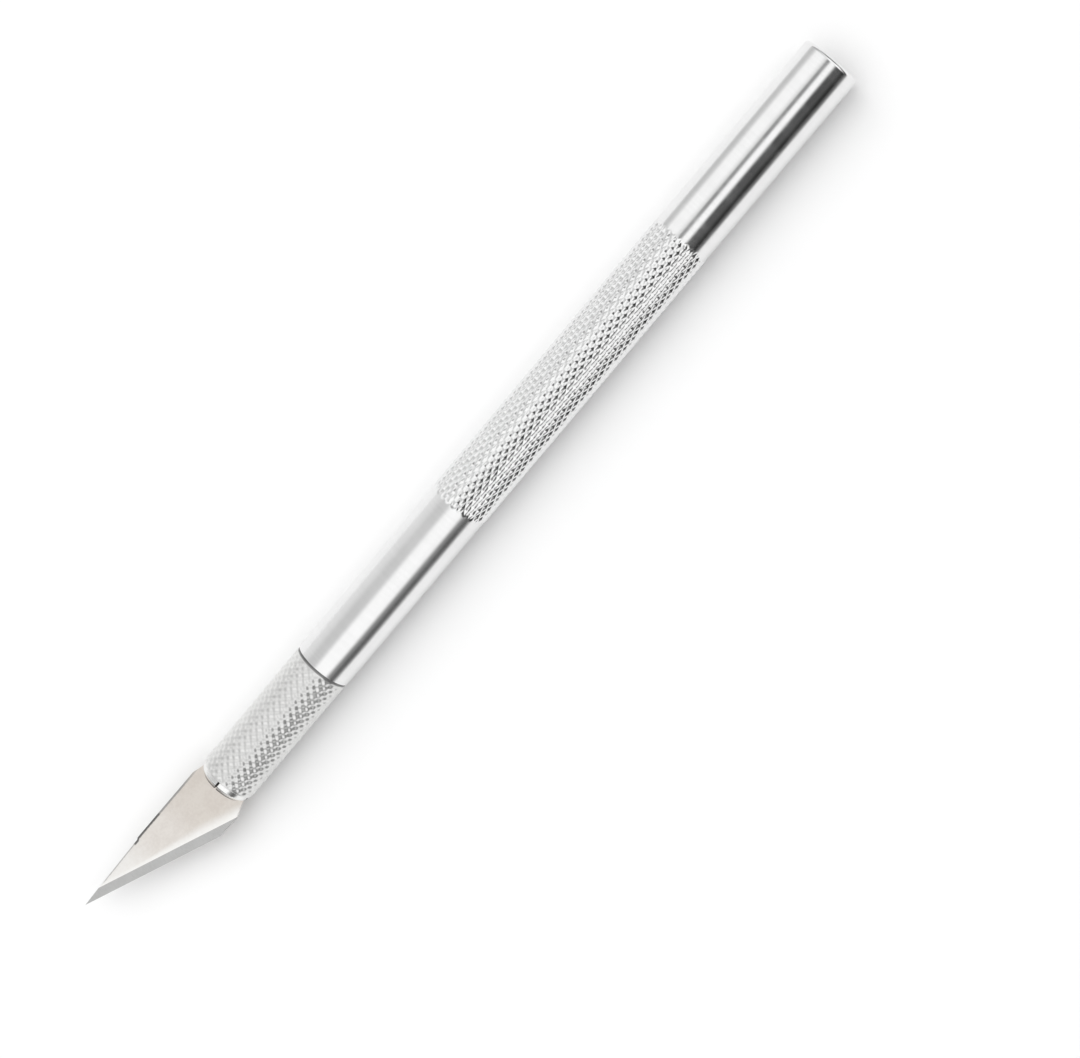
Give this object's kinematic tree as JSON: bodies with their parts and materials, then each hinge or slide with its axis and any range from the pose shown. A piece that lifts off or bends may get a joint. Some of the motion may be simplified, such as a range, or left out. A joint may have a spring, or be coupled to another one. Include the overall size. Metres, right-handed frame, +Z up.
{
  "type": "hobby craft knife",
  "caption": "Pen-shaped precision knife: knurled metal barrel, knurled clamping collar, split draw-in collet and removable pointed straight-edged blade.",
  "frame": {"origin": "centre of the barrel's flat rear end face, on the knife's axis", "axes": "+X along the knife from the rear end to the blade's tip; +Y towards the blade's cutting edge, -Y towards its spine; +Z up, square to the blade's flat sides"},
  "size_m": [0.1463, 0.0083, 0.0082],
  "materials": {
    "handle_metal": "polished, rolled diamond grip",
    "collar_metal": "rolled diamond pattern, satin",
    "collet_metal": "turned and polished",
    "blade_steel": "satin with a finer ground edge"
  },
  "bodies": {
    "handle": {"handle": "handle_metal"},
    "collar": {"collar": "collar_metal"},
    "collet": {"collet": "collet_metal"},
    "blade": {"blade": "blade_steel"}
  },
  "joints": [
    {"name": "collar_turn", "type": "hinge", "parent": "handle", "child": "collar", "pos_m": [0.0996, 0, 0], "axis": [1, 0, 0], "range_deg": [0, 450]},
    {"name": "collet_advance", "type": "slide", "parent": "collar", "child": "collet", "axis": [1, 0, 0], "range_m": [0, 0.001]},
    {"name": "blade_draw", "type": "slide", "parent": "collet", "child": "blade", "axis": [1, 0, 0], "range_m": [0, 0.018]}
  ],
  "couplings": [
    {"joint": "collar_turn", "follows": "collet_advance", "rad_per_m": 7854}
  ]
}
